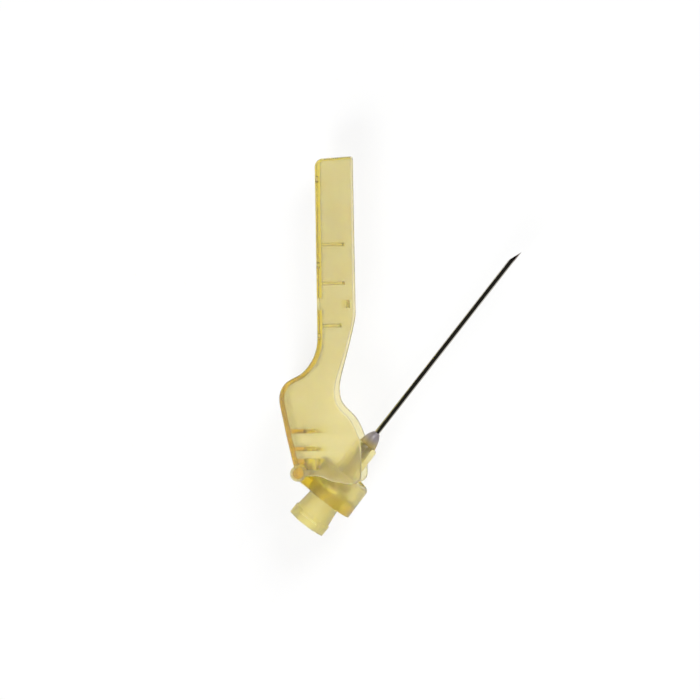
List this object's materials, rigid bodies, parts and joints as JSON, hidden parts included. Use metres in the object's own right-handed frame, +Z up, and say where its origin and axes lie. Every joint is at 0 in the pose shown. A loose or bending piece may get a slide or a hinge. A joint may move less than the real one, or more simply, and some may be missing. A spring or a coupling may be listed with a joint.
{
  "type": "safety hypodermic needle",
  "caption": "Hypodermic needle on a taper-socket hub with a turning collar and a hinged channel sheath that swings over the tube after use.",
  "frame": {"origin": "centre of the hub's taper mouth, on the axis of the tube", "axes": "+X along the tube to its point, +Y to the side that the sheath swings away to, +Z up from the surface that the part lies on"},
  "size_m": [0.057, 0.04, 0.012],
  "materials": {
    "needle_steel": "ground and electropolished",
    "cured_adhesive": "clear, lilac-grey",
    "hub_plastic": "translucent, satin moulded",
    "collar_plastic": "translucent, satin moulded",
    "sheath_plastic": "translucent, satin moulded"
  },
  "bodies": {
    "needle_hub": {"hub": "hub_plastic", "cannula": "needle_steel", "adhesive": "cured_adhesive"},
    "hinge_collar": {"collar": "collar_plastic"},
    "guard_sheath": {"sheath": "sheath_plastic"}
  },
  "joints": [
    {"name": "collar_turn", "type": "hinge", "parent": "needle_hub", "child": "hinge_collar", "pos_m": [0, 0, 0], "axis": [1, 0, 0], "continuous": true},
    {"name": "sheath_hinge", "type": "hinge", "parent": "hinge_collar", "child": "guard_sheath", "pos_m": [0.00615, 0.0058, 0], "axis": [0, 0, -1], "range_deg": [-106, 39]}
  ]
}
